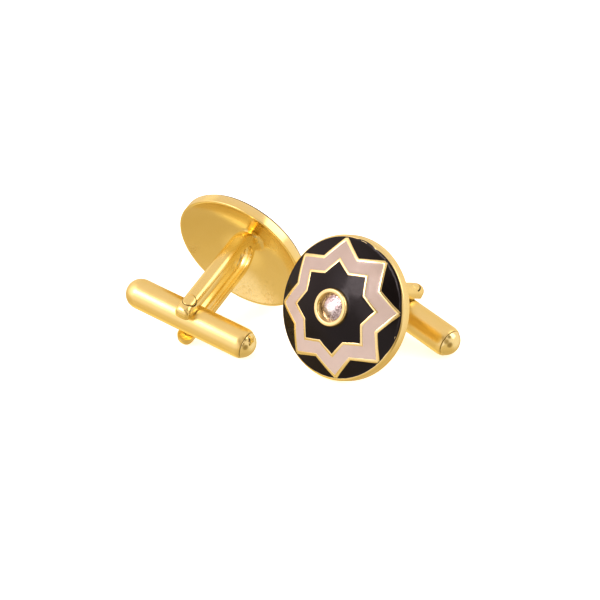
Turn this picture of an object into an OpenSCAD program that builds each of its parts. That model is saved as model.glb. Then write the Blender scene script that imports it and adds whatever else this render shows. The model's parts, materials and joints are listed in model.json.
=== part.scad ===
// A pair of round enamelled cufflinks with swivel-bar backs, standing as they are laid on a table.
// Each cufflink is built in its own frame: +Z is the way the face looks, with the flat back
// edge of the face at z = 0, X runs along the swivel bar and Y along its hinge pin.

/* [Face] */
// Diameter of the round face
face_d = 19; // [17:0.5:22]
// Height of the straight wall round the edge of the face
rim_h = 1.45; // [1.1:0.05:2]
// How far the middle of the face rises above its edge
dome_rise = 2.55; // [2:0.05:3]
// Thickness of the metal at the middle of the face
sheet_t = 0.9; // [0.85:0.05:1.1]
// Width of the flat lip round the hollow back
back_lip = 0.3; // [0.2:0.05:0.6]
// Bevel on the front edge of the face
front_bevel = 0.12; // [0.06:0.02:0.2]
// Bevel on the back edge of the face
back_bevel = 0.12; // [0.06:0.02:0.2]

/* [Enamel] */
// Number of points of the star
star_points = 8; // [6:1:10]
// Radius of the outer star's points, at the middle of its gold line
outer_tip_r = 9.05; // [8.8:0.05:9.2]
// Radius of the outer star's notches
outer_notch_r = 6.9; // [6.6:0.1:7.2]
// Radius of the inner star's points
inner_tip_r = 6.25; // [5.9:0.05:6.4]
// Radius of the inner star's notches
inner_notch_r = 4.85; // [4.6:0.05:5]
// Width of the outer star's gold line
outer_line_w = 0.5; // [0.35:0.05:0.6]
// Width of the inner star's gold line
inner_line_w = 0.42; // [0.3:0.02:0.5]
// Width of the gold ring outside the enamel
border_line_w = 0.4; // [0.35:0.05:0.6]
// Depth of the enamel cells
cell_depth = 0.45; // [0.3:0.05:0.6]
// How far the enamel lies below the gold lines
enamel_sink = 0.05; // [0.02:0.01:0.1]
// Turn of the star against the swivel bar, in degrees
star_turn = 25.2; // [0:0.2:45]

/* [Stone] */
// Outer diameter of the stone's bezel
bezel_d = 5.15; // [4.6:0.05:5.6]
// Diameter of the bezel's mouth
bezel_mouth_d = 3.9; // [3.5:0.05:4.05]
// How far the bezel stands above the dome
bezel_proud = 0.42; // [0.3:0.02:0.6]
// Depth of the bezel's socket in the face
bezel_socket = 0.7; // [0.6:0.02:0.76]
// Roundness of the bezel's outer edge
bezel_round = 0.22; // [0.1:0.02:0.3]
// Diameter of the stone
stone_d = 3.3; // [3:0.05:3.4]
// Height of the stone above its girdle
crown_h = 0.42; // [0.3:0.02:0.5]
// Depth of the stone below its girdle
pavilion_h = 0.46; // [0.3:0.02:0.48]
// Thickness of the stone's girdle
girdle_h = 0.06; // [0.04:0.01:0.1]
// Depth of the stone's girdle below the bezel's rim
girdle_drop = 0.62; // [0.56:0.02:0.7]

/* [Post] */
// Distance from the back edge of the face to the hinge pin
post_reach = 12.55; // [11.5:0.05:14]
// Width of the half-round strip that the post is bent from
strip_w = 2.25; // [2:0.05:2.6]
// Thickness of the strip at its crown
strip_t = 1.6; // [1.4:0.05:1.8]
// Height of the strip's rounded crown
strip_crown = 0.55; // [0.4:0.05:0.7]
// Width of the channel along the inner side of the strip
channel_w = 1.25; // [1:0.05:1.4]
// Depth of the channel
channel_depth = 0.35; // [0.2:0.05:0.5]
// Distance from the hinge pin to where the strip's round tip begins
tip_start = 1.05; // [0.95:0.05:1.4]
// Distance from the hinge pin to the end of the channel
channel_stop = 2.6; // [2.4:0.1:4]
// Diameter of the solder seat where it meets the face
seat_d = 4.2; // [3.6:0.1:5]
// Diameter of the solder seat where it meets the post
seat_neck_d = 2.7; // [2.5:0.1:3]
// Thickness of the solder between the post's crown and the face
solder_film = 0.08; // [0.04:0.02:0.2]

/* [Swivel bar] */
// Diameter of the swivel bar
bar_d = 4.14; // [3.8:0.02:4.5]
// Distance from the hinge pin to the bar's closed end
bar_closed_reach = 9.7; // [9:0.1:10]
// Distance from the hinge pin to the bar's plugged end
bar_plug_reach = 10; // [9.4:0.1:10.4]
// Distance from the hinge pin to the seam round the plug
seam_reach = 8.75; // [8.6:0.05:8.9]
// Wall of the hollow bar
bar_wall = 0.5; // [0.4:0.05:0.6]
// Gap between the bar and each arm of the post
arm_gap = 0.23; // [0.15:0.01:0.3]
// Thickness of the bar's closed end
bar_end_t = 1.2; // [0.8:0.1:1.6]
// Step between the bar's end and the smaller plug
seam_step = 0.09; // [0.04:0.01:0.14]

/* [Hinge and detent] */
// Diameter of the hinge pin
pin_d = 1.8; // [1.5:0.05:2]
// Running clearance round the hinge pin in the bar
pin_clear = 0.05; // [0.02:0.01:0.08]
// Depth of the four flats on the middle of the pin
flat_depth = 0.08; // [0.04:0.01:0.12]
// Width of the four flats along the pin
flat_len = 2.4; // [2:0.1:2.8]
// Gap between the plunger and the pin's round
plunger_gap = 0.04; // [0.03:0.01:0.1]
// Length of the plunger
plunger_len = 1.6; // [1.2:0.1:2]
// Diameter of the plunger's nose, which holds the spring
plunger_nose_d = 1.1; // [0.9:0.1:1.3]
// Length of the plunger's nose
plunger_nose_len = 0.9; // [0.6:0.1:1.2]
// Diameter of the spring's wire
wire_d = 0.34; // [0.28:0.02:0.4]
// Number of turns of the spring
spring_turns = 5; // [4:1:6]
// Length of the plug's stem inside the bar
plug_stem = 1.4; // [1:0.1:1.8]
// Clearance round the plunger and the plug's stem in the bar
slip_clear = 0.04; // [0.02:0.01:0.08]

/* [Places] */
// Turn of the right cufflink on the table, in degrees
right_yaw = -37.9; // [-60:0.1:-20]
// Turn of the left cufflink on the table, in degrees
left_yaw = 145.8; // [130:0.1:160]
// Place of the right face's back centre along X
right_x = 7.4; // [5:0.01:12]
// Place of the right face's back centre along Y
right_y = -8.4; // [-14:0.01:-5]
// Place of the left face's back centre along X
left_x = -7; // [-12:0.01:-5]
// Place of the left face's back centre along Y
left_y = 8.7; // [5:0.01:14]

/* [Hidden] */
$fn = 96;
GOLD = [0.91, 0.72, 0.35];
SATIN_GOLD = [0.84, 0.65, 0.31];
BLACK_ENAMEL = [0.1, 0.085, 0.09];
PINK_ENAMEL = [0.87, 0.74, 0.72];
CLEAR_STONE = [0.93, 0.92, 0.95];
STEEL = [0.62, 0.63, 0.65];

// how far every cut runs past the surface it opens
overrun = front_bevel;

// sides of the large round forms, and the step of small rounded edges in degrees
ball_sides = 240;
edge_sides = 180;
arc_step = 15;

// face
face_r = face_d / 2;
dome_top = rim_h + dome_rise;
dome_r = (face_r * face_r + dome_rise * dome_rise) / (2 * dome_rise);
dome_z = dome_top - dome_r;
dish_depth = dome_top - sheet_t;
dish_edge_r = face_r - back_lip;
dish_r = (dish_edge_r * dish_edge_r + dish_depth * dish_depth) / (2 * dish_depth);
dish_z = dish_depth - dish_r;
border_r = face_r - border_line_w;
cell_floor_r = dome_r - cell_depth;
enamel_top_r = dome_r - enamel_sink;

// bezel and stone, in heights of the cufflink's own frame
bezel_r = bezel_d / 2;
bezel_foot_z = dome_top - bezel_socket;
bezel_rim_z = dome_top + bezel_proud;
girdle_z = bezel_rim_z - girdle_drop;
stone_r = stone_d / 2;
ledge_share = 0.8;
table_share = 0.56;
star_facet_share = 0.8;
lower_facet_share = 0.55;
lower_facet_depth_share = 0.5;
stone_facets = 8;

// post
arm_in = bar_d / 2 + arm_gap;
arm_out = arm_in + strip_t;
crown_r = (strip_w * strip_w / 4 + strip_crown * strip_crown) / (2 * strip_crown);
channel_r = (channel_w * channel_w / 4 + channel_depth * channel_depth) / (2 * channel_depth);
bend_z = dish_depth - solder_film - arm_out;
tip_z = -post_reach - tip_start;
channel_end_z = -post_reach + channel_stop;
seat_r = seat_d / 2;
seat_neck_r = seat_neck_d / 2;
seat_h = strip_crown + channel_depth;

// swivel bar, along X, about the pin
bar_r = bar_d / 2;
bore_r = bar_r - bar_wall;
closed_ball_x = -(bar_closed_reach - bar_r);
plug_ball_x = bar_plug_reach - bar_r;
bore_end_x = -(bar_closed_reach - bar_end_t);
seam_r = sqrt(bar_r * bar_r - pow(seam_reach - plug_ball_x, 2));
plug_head_r = bar_r - seam_step;
plug_bulge_x = bar_plug_reach - plug_head_r;
pin_r = pin_d / 2;
pin_hole_r = pin_r + pin_clear;
slip_r = bore_r - slip_clear;

// detent: plunger, spring and the room between plunger and plug
plunger_x = pin_r + plunger_gap;
spring_x = plunger_x + plunger_len;
spring_end_x = seam_reach - plug_stem;
spring_len = spring_end_x - spring_x;
wire_r = wire_d / 2;
coil_r = plunger_nose_d / 2 + wire_r + slip_clear;
wire_sides = 6;
coil_steps = 8;

// how a cufflink rests: on the face's back edge, the lower arm's tip and the bar's plugged end.
// Each step finds the roll from the bar's end, then the lean from the arm's tip.
rest_steps = 30;
function lean_at(roll, a = post_reach + tip_start + back_bevel) =
    let (b = face_r - (arm_out - crown_r) * cos(roll))
    acos(crown_r / norm([a, b])) - atan2(a, b);
function roll_at(lean) =
    asin((face_r * cos(lean) - bar_r - (post_reach + back_bevel) * sin(lean)) / (plug_ball_x * cos(lean)));
function settle(roll, n) = n == 0 ? roll : settle(roll_at(lean_at(roll)), n - 1);
rest_roll = settle(0, rest_steps);
rest_lean = lean_at(rest_roll);
rest_z = face_r * cos(rest_lean) - back_bevel * sin(rest_lean);

// a star's outline, its sides moved outwards by d
function star(tip_r, notch_r, d) =
    let (half = 180 / star_points,
         tip_a = atan2(notch_r * sin(half), tip_r - notch_r * cos(half)),
         notch_a = atan2(tip_r * sin(half), tip_r * cos(half) - notch_r),
         out_tip = tip_r + d / sin(tip_a),
         out_notch = notch_r + d / sin(notch_a))
    [for (i = [0 : 2 * star_points - 1])
        let (r = i % 2 == 0 ? out_tip : out_notch, a = star_turn + i * half)
        [r * cos(a), r * sin(a)]];

module outer_star(d) { polygon(star(outer_tip_r, outer_notch_r, d)); }

module inner_star(d) { polygon(star(inner_tip_r, inner_notch_r, d)); }

// the three fields of enamel, seen from the front
module border_field() {
    difference() {
        circle(r = border_r);
        outer_star(outer_line_w / 2);
    }
}

module star_field() {
    difference() {
        outer_star(-outer_line_w / 2);
        inner_star(inner_line_w / 2);
    }
}

module centre_field() {
    difference() {
        inner_star(-inner_line_w / 2);
        circle(r = bezel_r);
    }
}

// everything over a field from the floor of its cell upwards
module over_floor(top_z) {
    difference() {
        linear_extrude(height = top_z) children();
        translate([0, 0, dome_z]) sphere(r = cell_floor_r, $fn = ball_sides);
    }
}

module cell_cut() { over_floor(dome_top + overrun) children(); }

module enamel() {
    intersection() {
        over_floor(dome_top) children();
        translate([0, 0, dome_z]) sphere(r = enamel_top_r, $fn = ball_sides);
    }
}

module face_blank() {
    bevel_top = rim_h - front_bevel;
    intersection() {
        rotate_extrude($fn = edge_sides)
            polygon([[0, 0], [face_r - back_bevel, 0], [face_r, back_bevel], [face_r, bevel_top],
                     [face_r - 3 * front_bevel, bevel_top + 3 * front_bevel],
                     [face_r - 3 * front_bevel, dome_top], [0, dome_top]]);
        translate([0, 0, dome_z]) sphere(r = dome_r, $fn = ball_sides);
    }
}

module face_plate() {
    color(SATIN_GOLD)
    difference() {
        face_blank();
        translate([0, 0, dish_z]) sphere(r = dish_r, $fn = ball_sides);
        cell_cut() border_field();
        cell_cut() star_field();
        cell_cut() centre_field();
        translate([0, 0, bezel_foot_z]) cylinder(r = bezel_r, h = bezel_socket + overrun);
    }
}

module border_enamel() { color(BLACK_ENAMEL) enamel() border_field(); }

module star_enamel() { color(PINK_ENAMEL) enamel() star_field(); }

module centre_enamel() { color(BLACK_ENAMEL) enamel() centre_field(); }

// a tube setting: mouth, sloping inner wall, ledge under the stone's girdle, round outer edge
module bezel() {
    ledge_r = stone_r * ledge_share;
    edge = [for (a = [0 : arc_step : 90])
        [bezel_r - bezel_round + bezel_round * cos(a), bezel_rim_z - bezel_round + bezel_round * sin(a)]];
    color(GOLD)
    rotate_extrude()
        polygon(concat(
            [[ledge_r, bezel_foot_z], [bezel_r, bezel_foot_z]], edge,
            [[bezel_mouth_d / 2, bezel_rim_z], [stone_r, girdle_z + girdle_h],
             [stone_r, girdle_z], [ledge_r, girdle_z - pavilion_h * (1 - ledge_share)]]));
}

// a round brilliant: table, star facets, girdle, lower facets and a point
module stone_ring(r, z, turn) {
    translate([0, 0, z]) rotate([0, 0, turn]) cylinder(r = r, h = girdle_h, $fn = stone_facets);
}

module stone() {
    half_facet = 180 / stone_facets;
    crown_z = girdle_z + crown_h;
    color(CLEAR_STONE)
    hull() {
        stone_ring(stone_r * table_share, crown_z - girdle_h, 0);
        stone_ring(stone_r * star_facet_share, girdle_z + crown_h * lower_facet_share, half_facet);
        translate([0, 0, girdle_z]) cylinder(r = stone_r, h = girdle_h, $fn = 2 * stone_facets);
        stone_ring(stone_r * lower_facet_share, girdle_z - pavilion_h * lower_facet_depth_share, half_facet);
        translate([0, 0, girdle_z - pavilion_h])
            cylinder(r1 = 0, r2 = girdle_h, h = girdle_h, $fn = stone_facets);
    }
}

// the strip's half-round section: x across it, y from its inner side to its crown
module strip_section(channelled) {
    difference() {
        intersection() {
            translate([-strip_w / 2, 0]) square([strip_w, strip_t]);
            translate([0, strip_t - crown_r]) circle(r = crown_r);
        }
        if (channelled) translate([0, channel_depth - channel_r]) circle(r = channel_r);
    }
}

// one straight arm on the +Y side, with its half-round tip turned about the pin's direction
module arm() {
    translate([0, arm_in, channel_end_z])
        linear_extrude(height = bend_z - channel_end_z) strip_section(true);
    translate([0, arm_in, tip_z])
        linear_extrude(height = channel_end_z - tip_z) strip_section(false);
    translate([0, arm_in, tip_z]) rotate([-90, 0, 0]) rotate_extrude(angle = 180)
        intersection() {
            strip_section(false);
            square([strip_w, strip_t]);
        }
}

// the closed end of the post, turned about X
module bend() {
    translate([0, 0, bend_z]) rotate([0, 90, 0]) rotate([0, 0, 90]) rotate_extrude(angle = 180)
        translate([arm_in, 0]) rotate([0, 0, -90]) mirror([1, 0]) strip_section(true);
}

// the room that the bend takes up, as a full ring
module bend_room() {
    translate([0, 0, bend_z]) rotate([0, 90, 0]) rotate_extrude()
        intersection() {
            translate([arm_out - crown_r, 0]) circle(r = crown_r);
            translate([arm_in, -strip_w / 2]) square([2 * strip_t, strip_w]);
        }
}

module post() {
    color(GOLD)
    difference() {
        union() {
            arm();
            mirror([0, 1, 0]) arm();
            bend();
        }
        translate([0, 0, -post_reach]) rotate([90, 0, 0])
            cylinder(r = pin_r, h = 2 * (arm_out + overrun), center = true);
    }
}

// solder drawn in between the crown of the bend and the hollow of the face
module solder_seat() {
    flare = seat_r - seat_neck_r;
    side = [for (a = [0 : arc_step : 90])
        [seat_neck_r + flare * (1 - cos(a)), dish_depth - seat_h + seat_h * sin(a)]];
    color(GOLD)
    difference() {
        intersection() {
            rotate_extrude() polygon(concat([[0, dish_depth - seat_h]], side, [[0, dish_depth]]));
            translate([0, 0, dish_z]) sphere(r = dish_r, $fn = ball_sides);
        }
        bend_room();
    }
}

// the pin: round in the arms and the bar, four shallow flats in the middle, ends filed to the crown
module hinge_pin() {
    body_half = arm_out - strip_crown;
    flat_w = pin_d - 2 * flat_depth;
    color(GOLD)
    translate([0, 0, -post_reach]) {
        difference() {
            rotate([90, 0, 0]) cylinder(r = pin_r, h = 2 * body_half, center = true);
            for (turn = [0 : 90 : 270]) rotate([0, turn, 0])
                translate([flat_w / 2, -flat_len / 2, -pin_d]) cube([pin_d, flat_len, 2 * pin_d]);
        }
        for (side = [0, 1]) mirror([0, side, 0])
            intersection() {
                translate([0, body_half, 0]) rotate([-90, 0, 0]) cylinder(r = pin_r, h = strip_crown);
                translate([0, arm_out - crown_r, 0]) cylinder(r = crown_r, h = 2 * pin_d, center = true);
            }
    }
}

// the hollow bar: a round closed end, a bore from the other end and a cross hole for the pin
module swivel_bar() {
    color(GOLD)
    translate([0, 0, -post_reach])
    difference() {
        intersection() {
            union() {
                translate([closed_ball_x, 0, 0]) sphere(r = bar_r);
                translate([closed_ball_x, 0, 0]) rotate([0, 90, 0])
                    cylinder(r = bar_r, h = plug_ball_x - closed_ball_x);
                translate([plug_ball_x, 0, 0]) sphere(r = bar_r);
            }
            translate([-bar_closed_reach - overrun, -bar_d, -bar_d])
                cube([bar_closed_reach + overrun + seam_reach, 2 * bar_d, 2 * bar_d]);
        }
        translate([bore_end_x, 0, 0]) rotate([0, 90, 0])
            cylinder(r = bore_r, h = seam_reach - bore_end_x + overrun);
        rotate([90, 0, 0]) cylinder(r = pin_hole_r, h = bar_d + overrun, center = true);
    }
}

// the plug: a dome a little smaller than the bar, and a stem that fits its bore
module bar_plug() {
    color(GOLD)
    translate([0, 0, -post_reach]) rotate([0, 90, 0]) {
        intersection() {
            translate([0, 0, plug_bulge_x]) sphere(r = plug_head_r);
            translate([0, 0, seam_reach]) cylinder(r = bar_d, h = bar_d);
        }
        translate([0, 0, spring_end_x]) cylinder(r = bore_r, h = plug_stem);
    }
}

module detent_plunger() {
    color(STEEL)
    translate([plunger_x, 0, -post_reach]) rotate([0, 90, 0]) {
        cylinder(r = slip_r, h = plunger_len);
        cylinder(r = plunger_nose_d / 2, h = plunger_len + plunger_nose_len);
    }
}

// a coil spring: rings of wire_sides points along a helix about X
module detent_spring() {
    rings = spring_turns * coil_steps;
    rise = spring_len - wire_d;
    points = [for (i = [0 : rings], k = [0 : wire_sides - 1])
        let (a = 360 * i / coil_steps, b = 360 * k / wire_sides, r = coil_r + wire_r * cos(b))
        [wire_r + rise * i / rings + wire_r * sin(b), r * cos(a), r * sin(a)]];
    sides = [for (i = [0 : rings - 1], k = [0 : wire_sides - 1])
        let (p = i * wire_sides + k, q = i * wire_sides + (k + 1) % wire_sides)
        each [[p, p + wire_sides, q], [q, p + wire_sides, q + wire_sides]]];
    first = [for (k = [1 : wire_sides - 2]) [0, k, k + 1]];
    last_at = rings * wire_sides;
    last = [for (k = [1 : wire_sides - 2]) [last_at, last_at + k + 1, last_at + k]];
    color(STEEL)
    translate([spring_x, 0, -post_reach]) polyhedron(points, concat(sides, first, last));
}

// where each cufflink stands
module on_table(x, y, yaw, spin) {
    translate([x, y, rest_z]) rotate([0, 0, yaw]) rotate([90 - rest_lean, 0, 0])
        rotate([0, 0, spin]) children();
}

module right() { on_table(right_x, right_y, right_yaw, -rest_roll) children(); }

module left() { on_table(left_x, left_y, left_yaw, 180 + rest_roll) children(); }

right() face_plate();  // right_face_plate
right() border_enamel();  // right_border_enamel
right() star_enamel();  // right_star_enamel
right() centre_enamel();  // right_centre_enamel
right() bezel();  // right_bezel
right() stone();  // right_stone
right() post();  // right_post
right() solder_seat();  // right_solder_seat
right() hinge_pin();  // right_hinge_pin
right() swivel_bar();  // right_swivel_bar
right() bar_plug();  // right_bar_plug
right() detent_plunger();  // right_detent_plunger
right() detent_spring();  // right_detent_spring
left() face_plate();  // left_face_plate
left() border_enamel();  // left_border_enamel
left() star_enamel();  // left_star_enamel
left() centre_enamel();  // left_centre_enamel
left() bezel();  // left_bezel
left() stone();  // left_stone
left() post();  // left_post
left() solder_seat();  // left_solder_seat
left() hinge_pin();  // left_hinge_pin
left() swivel_bar();  // left_swivel_bar
left() bar_plug();  // left_bar_plug
left() detent_plunger();  // left_detent_plunger
left() detent_spring();  // left_detent_spring
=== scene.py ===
"""A pair of round enamelled cufflinks with swivel-bar backs, standing on a pale table.

Every piece is modelled in its own cufflink's frame, in millimetres: +Z is the way the face looks,
with the flat back edge of the face at z = 0, X runs along the swivel bar and Y along its hinge pin.
"""

import json
import logging
import math
from dataclasses import dataclass
from enum import Enum
from typing import Sequence

import bmesh
import bpy
from mathutils import Matrix, Vector, noise

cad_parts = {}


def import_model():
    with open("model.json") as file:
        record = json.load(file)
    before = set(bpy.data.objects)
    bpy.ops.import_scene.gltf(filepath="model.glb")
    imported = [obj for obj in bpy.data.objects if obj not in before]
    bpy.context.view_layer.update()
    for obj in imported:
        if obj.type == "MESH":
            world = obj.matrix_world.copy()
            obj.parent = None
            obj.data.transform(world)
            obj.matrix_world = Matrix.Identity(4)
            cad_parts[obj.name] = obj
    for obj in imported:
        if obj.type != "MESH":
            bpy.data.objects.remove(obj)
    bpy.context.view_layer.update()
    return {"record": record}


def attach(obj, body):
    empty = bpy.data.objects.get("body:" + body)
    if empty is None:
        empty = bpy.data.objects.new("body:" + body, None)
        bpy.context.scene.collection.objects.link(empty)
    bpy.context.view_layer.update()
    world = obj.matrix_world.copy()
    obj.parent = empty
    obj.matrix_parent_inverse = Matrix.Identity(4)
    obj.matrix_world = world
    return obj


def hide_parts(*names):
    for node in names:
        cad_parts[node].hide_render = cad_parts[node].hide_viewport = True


LOG = logging.getLogger("cufflinks")
MM = 0.001
PHOTO_SIZE = 600
SENSOR_MM = 36.0
FLOW = "solder_flow"
# Marks the gold on the front of the face, which the finish paints paler as painted light.
FRONT = "front_gold"
CLEAR = "clear_table"

Outline = list[Vector]
Mesh = bmesh.types.BMesh
Colour = tuple[float, float, float]
Socket = bpy.types.NodeSocket
Material = bpy.types.Material
Value = Socket | float | Sequence[float]


class Side(Enum):
    """The two cufflinks of the pair, by their place in the photograph."""

    RIGHT = "right"
    LEFT = "left"


@dataclass(frozen=True)
class Lap:
    """Where the border enamel laps over the gold ring: direction and half-angle in degrees, and how far."""

    turn: float
    half: float
    reach: float


@dataclass(frozen=True)
class HandWork:
    """What differs between the two cufflinks.

    Attributes:
        laps: Where the border enamel laps over the gold ring.
        tip_blunts: How square the tips of the +Y and the -Y arm are, where 2 is round.
    """

    laps: tuple[Lap, ...]
    tip_blunts: tuple[float, float]


HAND_WORK = {
    Side.RIGHT: HandWork(
        laps=(Lap(14, 24, 0.2), Lap(56, 30, 0.26), Lap(96, 10, 0.18), Lap(150, 48, 0.14),
              Lap(215, 60, 0.15)),
        tip_blunts=(2.1, 2.1)),
    Side.LEFT: HandWork(laps=(Lap(-65, 65, 0.31),), tip_blunts=(2.2, 3.6)),
}


def polar(radius: float, angle: float) -> Vector:
    """A point in the plane at a radius and an angle in radians."""
    return Vector((radius * math.cos(angle), radius * math.sin(angle)))


def points(*pairs: tuple[float, float]) -> Outline:
    """The points of an outline, given as pairs."""
    return [Vector(pair) for pair in pairs]


def arc(radius: float, centre: Vector, start: float, end: float, steps: int) -> Outline:
    """Points along a circle.

    Args:
        radius: The circle's radius.
        centre: The circle's centre.
        start: Angle of the first point, in radians.
        end: Angle of the last point, in radians.
        steps: How many steps lie between the two.

    Returns:
        The points, both ends included.
    """
    return [centre + polar(radius, start + (end - start) * i / steps) for i in range(steps + 1)]


def arch_radius(half: float, rise: float) -> float:
    """Radius of the arch that rises this far above half its span."""
    return (half ** 2 + rise ** 2) / (2 * rise)


def fillet(outline: Sequence[Vector], radius: float, closed: bool = False,
           corners: Sequence[int] | None = None) -> Outline:
    """Rounds the sharp corners of an outline and leaves its smooth stretches alone.

    Args:
        outline: The corner points, in order.
        radius: How far from a corner its rounding starts.
        closed: Whether the last point joins the first.
        corners: Which points are rounded; where it isn't given, every sharp one.

    Returns:
        The rounded outline.
    """
    straight = math.radians(155)
    cut_share = 0.45
    steps = 4
    out: Outline = []
    count = len(outline)
    for i, corner in enumerate(outline):
        if not closed and i in (0, count - 1):
            out.append(corner)
            continue
        back = outline[i - 1] - corner
        ahead = outline[(i + 1) % count] - corner
        sharp = back.angle(ahead) < straight if corners is None else i in corners
        if not sharp:
            out.append(corner)
            continue
        cut = min(radius, cut_share * back.length, cut_share * ahead.length)
        first = corner + back.normalized() * cut
        last = corner + ahead.normalized() * cut
        for k in range(steps + 1):
            t = k / steps
            out.append(first.lerp(corner, t).lerp(corner.lerp(last, t), t))
    return out


def revolve(outline: Sequence[Vector], steps: int, closed: bool = False) -> Mesh:
    """Spins an outline of (radius, height) points a full turn about Z.

    Args:
        outline: The points of the outline.
        steps: How many steps the turn has.
        closed: Whether the outline's last point joins its first.

    Returns:
        A closed mesh with its faces outwards.
    """
    mesh = bmesh.new()
    verts = [mesh.verts.new((p.x, 0, p.y)) for p in outline]
    ends = verts[1:] + verts[:1] if closed else verts[1:]
    edges = [mesh.edges.new(pair) for pair in zip(verts, ends)]
    bmesh.ops.spin(mesh, geom=verts + edges, cent=(0, 0, 0), axis=(0, 0, 1),
                   angle=math.tau, steps=steps, use_merge=True)
    return closed_up(mesh)


def closed_up(mesh: Mesh) -> Mesh:
    """Merges what lies together and turns the faces outwards.

    Args:
        mesh: The mesh, which is changed in place.

    Returns:
        The same mesh.
    """
    same_place = 1e-4
    bmesh.ops.remove_doubles(mesh, verts=mesh.verts, dist=same_place)
    bmesh.ops.recalc_face_normals(mesh, faces=mesh.faces)
    return mesh


def loft(rings: Sequence[Sequence[Vector]], joined: bool = False) -> Mesh:
    """Makes the first ring from its points and extrudes it through the others.

    Args:
        rings: Closed rings with the same number of points each.
        joined: Whether the last ring joins the first.

    Returns:
        A mesh with its faces outwards.
    """
    mesh = bmesh.new()
    ring = [mesh.verts.new(p) for p in rings[0]]
    edges = [mesh.edges.new(pair) for pair in zip(ring, ring[1:] + ring[:1])]
    for level in list(rings[1:]) + list(rings[:1] if joined else []):
        made = bmesh.ops.extrude_edge_only(mesh, edges=edges)["geom"]
        place = {vert: i for i, vert in enumerate(ring)}
        grown = list(ring)
        for vert in (item for item in made if isinstance(item, bmesh.types.BMVert)):
            root = next(e.other_vert(vert) for e in vert.link_edges if e.other_vert(vert) in place)
            grown[place[root]] = vert
        for vert, point in zip(grown, level):
            vert.co = point
        ring = grown
        edges = [mesh.edges.get(pair) for pair in zip(ring, ring[1:] + ring[:1])]
    return closed_up(mesh)


def mesh_data(name: str, mesh: Mesh) -> bpy.types.Mesh:
    """Turns a bmesh, which is used up, into mesh data.

    Args:
        name: The data's name.
        mesh: The bmesh.

    Returns:
        The data.
    """
    data = bpy.data.meshes.new(name)
    mesh.to_mesh(data)
    mesh.free()
    return data


def added(name: str, data: bpy.types.ID) -> bpy.types.Object:
    """Adds an object with this data to the scene.

    Args:
        name: The object's name.
        data: A mesh, a light or a camera.

    Returns:
        The object.
    """
    item = bpy.data.objects.new(name, data)
    bpy.context.scene.collection.objects.link(item)
    return item


@dataclass(frozen=True)
class Cloud:
    """Noise in a finish.

    Attributes:
        size_mm: Size of its largest blotches.
        detail: How many finer layers lie on them.
        rough: How strong the finer layers are.
        start: The noise's value that counts as 0.
        end: The noise's value that counts as 1.
    """

    size_mm: float
    detail: float = 2.0
    rough: float = 0.5
    start: float = 0.3
    end: float = 0.7


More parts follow.
